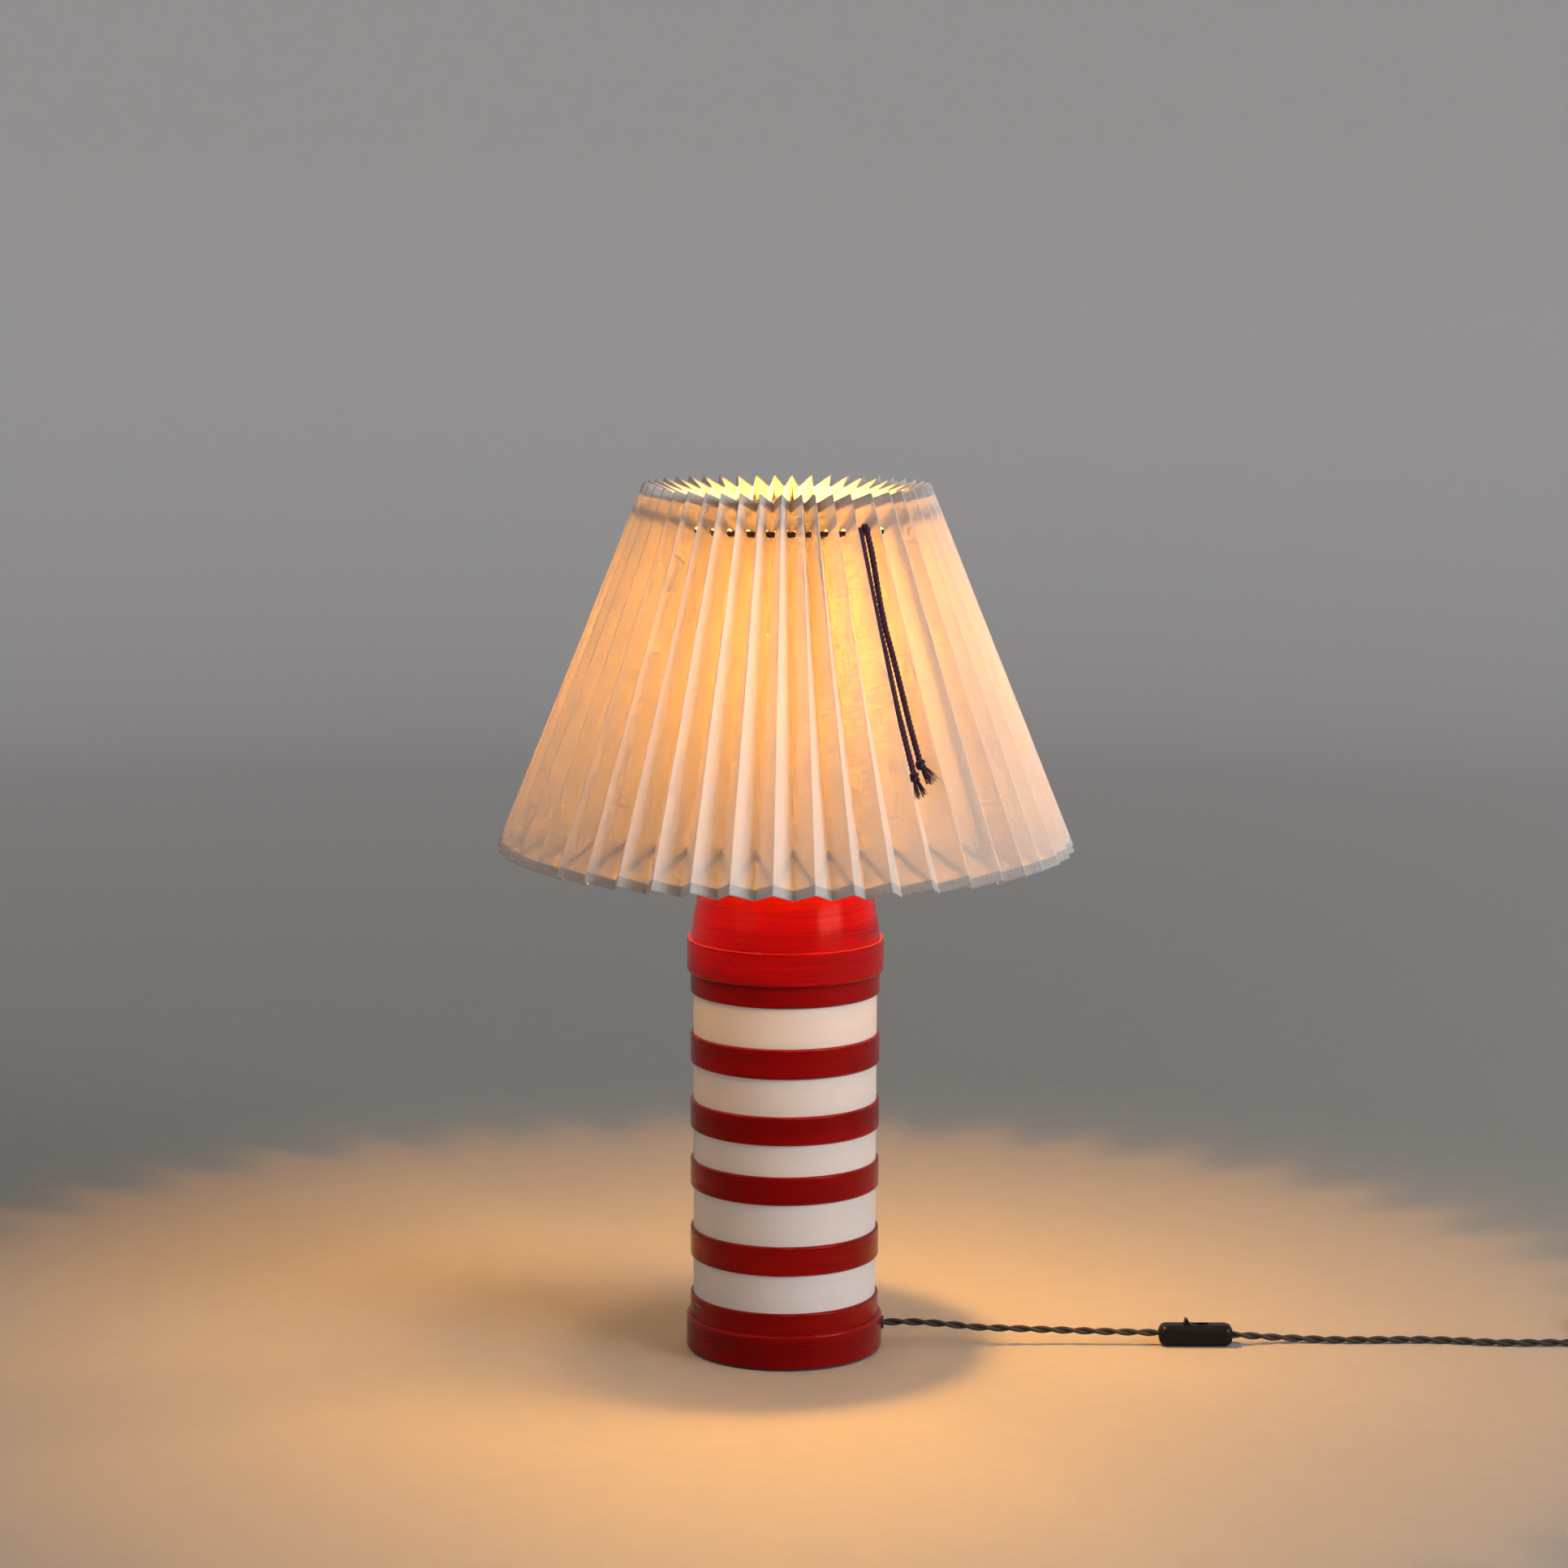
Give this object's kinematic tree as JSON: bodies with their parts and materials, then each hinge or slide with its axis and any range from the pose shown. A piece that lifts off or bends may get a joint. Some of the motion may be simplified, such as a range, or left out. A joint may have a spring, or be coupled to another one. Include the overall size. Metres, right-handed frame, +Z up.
{
  "type": "table lamp",
  "caption": "Table lamp with a ringed turned base, lift-off pleated cloth shade with a drawstring, twisted flex with an inline rocker switch, and a mains plug.",
  "frame": {"origin": "centre of the felt underside, on the surface that the lamp stands on", "axes": "+Z up along the lamp's axis; the flex leaves towards +X; the drawstring hangs on the -Y side, which is the front"},
  "size_m": [1.0167, 0.4512, 0.6845],
  "materials": {
    "red_lacquer": "gloss lacquer over wood, brushed by hand, with eggshell white bands",
    "fibreboard": "raw fibreboard",
    "felt": "pressed wool felt",
    "zinc_steel": "bright zinc plate",
    "brass": "satin brass",
    "ceramic": "glazed porcelain",
    "nickel": "nickel plate",
    "opal_glass": "frosted opal glass",
    "black_plastic": "satin moulded plastic",
    "black_rubber": "matt rubber",
    "braided_flex": "braided cotton over two twisted cores",
    "frame_wire": "white powder coat",
    "linen": "pleated linen, translucent",
    "aubergine_rope": "three-strand twisted cotton rope"
  },
  "bodies": {
    "base": {"column": "red_lacquer", "dome_cap": "red_lacquer", "felt_pad": "felt", "base_disc": "fibreboard", "lower_washer": "zinc_steel", "lower_nut": "zinc_steel", "threaded_tube": "zinc_steel", "top_seat": "brass", "neck_nut": "brass", "holder_cap": "brass", "holder_insulator": "ceramic", "holder_skirt": "brass", "screw_liner": "brass", "centre_contact": "brass", "grommet": "black_rubber", "flex_inside_lamp": "braided_flex", "flex_lamp_to_switch": "braided_flex", "switch_base": "black_plastic", "switch_cover": "black_plastic", "switch_terminals": "brass", "switch_screws": "zinc_steel", "flex_switch_to_coil": "braided_flex", "flex_coil": "braided_flex", "flex_coil_to_plug": "braided_flex", "plug_base": "black_plastic", "plug_cover": "black_plastic", "plug_earth_pin": "brass", "plug_line_pins": "brass", "plug_screw": "zinc_steel", "plug_fuse": "ceramic", "plug_cord_grip": "black_plastic"},
    "bulb": {"bulb_glass": "opal_glass", "bulb_cap": "nickel", "bulb_insulator": "black_plastic", "bulb_contact": "nickel"},
    "clamp_ring": {"clamp_ring": "brass"},
    "carrier": {"carrier_ring": "brass", "carrier_arms": "brass", "carrier_gallery": "brass"},
    "shade": {"pleated_cover": "linen", "drawstring_loop": "aubergine_rope", "frame_top_ring": "frame_wire", "frame_bottom_ring": "frame_wire", "frame_struts": "frame_wire", "duplex_ring": "frame_wire", "duplex_arms": "frame_wire", "string_tail_left": "aubergine_rope", "string_tail_right": "aubergine_rope", "string_end_left": "aubergine_rope", "string_end_right": "aubergine_rope"},
    "rocker": {"rocker": "black_plastic"}
  },
  "joints": [
    {"name": "bulb_turn", "type": "hinge", "parent": "base", "child": "bulb", "pos_m": [0, 0, 0.5], "axis": [0, 0, 1], "continuous": true},
    {"name": "clamp_ring_turn", "type": "hinge", "parent": "base", "child": "clamp_ring", "pos_m": [0, 0, 0.485], "axis": [0, 0, 1], "continuous": true},
    {"name": "carrier_turn", "type": "hinge", "parent": "base", "child": "carrier", "pos_m": [0, 0, 0.481], "axis": [0, 0, 1], "continuous": true},
    {"name": "shade_lift", "type": "slide", "parent": "carrier", "child": "shade", "axis": [0, 0, 1], "range_m": [0, 0.3]},
    {"name": "rocker_tilt", "type": "hinge", "parent": "base", "child": "rocker", "pos_m": [0.32725, 0, 0.0158], "axis": [0, 1, 0], "range_deg": [-18, 0]}
  ]
}
